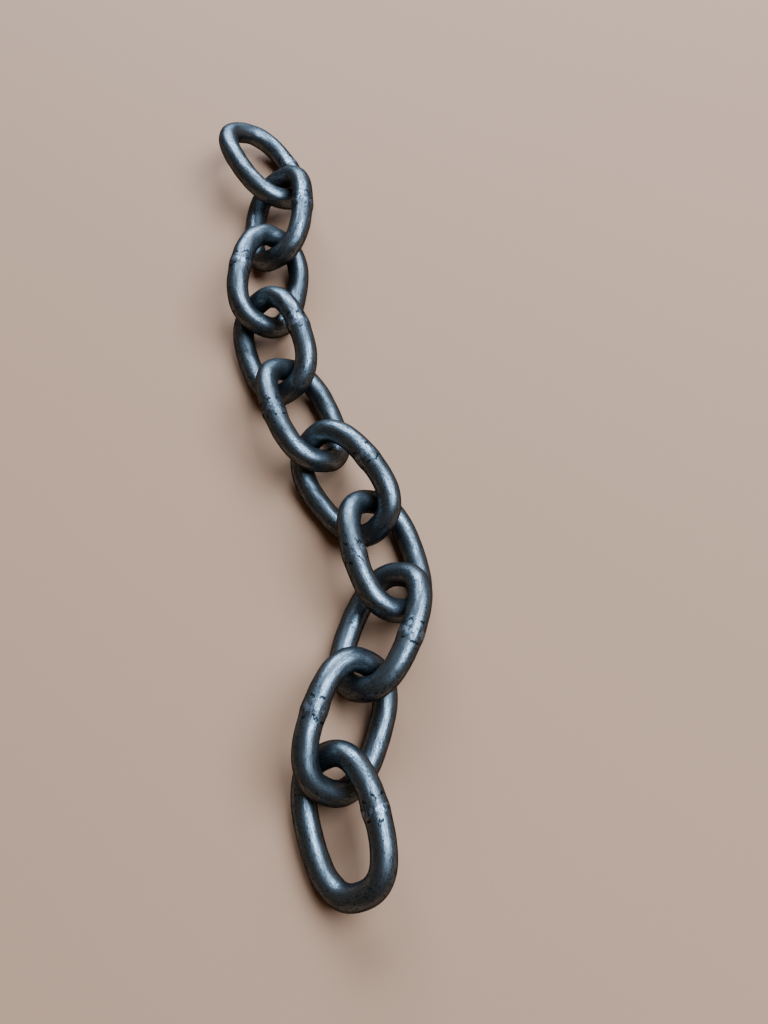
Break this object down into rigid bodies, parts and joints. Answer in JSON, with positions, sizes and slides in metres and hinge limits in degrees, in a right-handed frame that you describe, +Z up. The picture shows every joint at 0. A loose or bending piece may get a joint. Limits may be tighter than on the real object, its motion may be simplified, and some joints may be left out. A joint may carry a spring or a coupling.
{
  "type": "short length of welded iron chain",
  "caption": "Short length of round-wire chain: oval welded links threaded one through the next, lying loose in a gentle bend.",
  "frame": {"origin": "middle of the length's box, on the surface that it lies on", "axes": "+Y runs along the length, from its near end to its far end, +Z is up"},
  "size_m": [0.0582, 0.209, 0.0164],
  "materials": {
    "steel": "dark self-coloured drawn steel, half glossy, scuffed"
  },
  "bodies": {
    "link_01": {"link_01": "steel"},
    "link_02": {"link_02": "steel"},
    "link_03": {"link_03": "steel"},
    "link_04": {"link_04": "steel"},
    "link_05": {"link_05": "steel"},
    "link_06": {"link_06": "steel"},
    "link_07": {"link_07": "steel"},
    "link_08": {"link_08": "steel"},
    "link_09": {"link_09": "steel"},
    "link_10": {"link_10": "steel"}
  },
  "joints": [
    {"name": "link_04_swing", "type": "hinge", "parent": "link_05", "child": "link_04", "pos_m": [0.01697, -0.02301, 0.00798], "axis": [-0.6293, -0.4742, -0.6157], "range_deg": [-75, 60]},
    {"name": "link_03_swing", "type": "hinge", "parent": "link_04", "child": "link_03", "pos_m": [0.02203, -0.04339, 0.00774], "axis": [-0.7777, -0.223, 0.5878], "range_deg": [-35, 75]},
    {"name": "link_02_swing", "type": "hinge", "parent": "link_03", "child": "link_02", "pos_m": [0.01252, -0.06087, 0.00774], "axis": [-0.7602, 0.2767, -0.5878], "range_deg": [-75, 75]},
    {"name": "link_01_swing", "type": "hinge", "parent": "link_02", "child": "link_01", "pos_m": [0.00626, -0.08187, 0.0081], "axis": [-0.7432, 0.2272, 0.6293], "range_deg": [-75, 45]},
    {"name": "link_06_swing", "type": "hinge", "parent": "link_05", "child": "link_06", "pos_m": [0.00024, -0.00081, 0.00798], "axis": [-0.6293, -0.4742, -0.6157], "range_deg": [-75, 75]},
    {"name": "link_07_swing", "type": "hinge", "parent": "link_06", "child": "link_07", "pos_m": [-0.00719, 0.01969, 0.00798], "axis": [-0.7306, -0.2952, 0.6157], "range_deg": [-75, 75]},
    {"name": "link_08_swing", "type": "hinge", "parent": "link_07", "child": "link_08", "pos_m": [-0.01518, 0.04009, 0.00774], "axis": [-0.7553, -0.2899, -0.5878], "range_deg": [-75, 50]},
    {"name": "link_09_swing", "type": "hinge", "parent": "link_08", "child": "link_09", "pos_m": [-0.011, 0.06125, 0.00798], "axis": [-0.7821, 0.096, 0.6157], "range_deg": [-75, 75]},
    {"name": "link_10_swing", "type": "hinge", "parent": "link_09", "child": "link_10", "pos_m": [-0.01137, 0.08302, 0.00774], "axis": [-0.809, 0, -0.5878], "range_deg": [-25, 75]}
  ]
}
